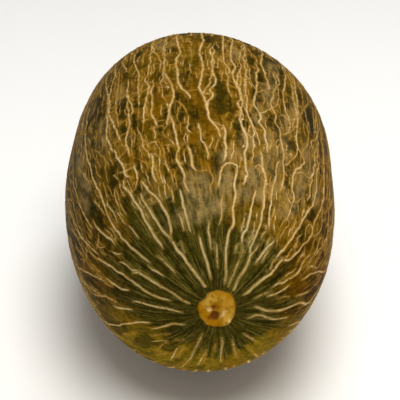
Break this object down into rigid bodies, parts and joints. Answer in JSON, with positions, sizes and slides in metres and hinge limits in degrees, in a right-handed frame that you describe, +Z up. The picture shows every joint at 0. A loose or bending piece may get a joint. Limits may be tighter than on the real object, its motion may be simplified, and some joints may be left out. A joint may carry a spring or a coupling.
{
  "type": "piel de sapo melon",
  "caption": "Whole oblong green melon with a corky netted rind and a stem scar, lying on its side on a small flat spot.",
  "frame": {"origin": "on the surface the melon rests on, below the middle of its bounding box", "axes": "+Y along the melon's long axis from the stem scar to the blossom end, +Z up, +X to the right as the stem end is seen from -Y"},
  "size_m": [0.152, 0.2934, 0.148],
  "materials": {
    "rind": "satin waxy rind, dark olive green at the stem end and olive brown further out, with raised tan corky netting and a golden corky stem scar"
  },
  "bodies": {
    "root": {"melon": "rind"}
  },
  "joints": []
}
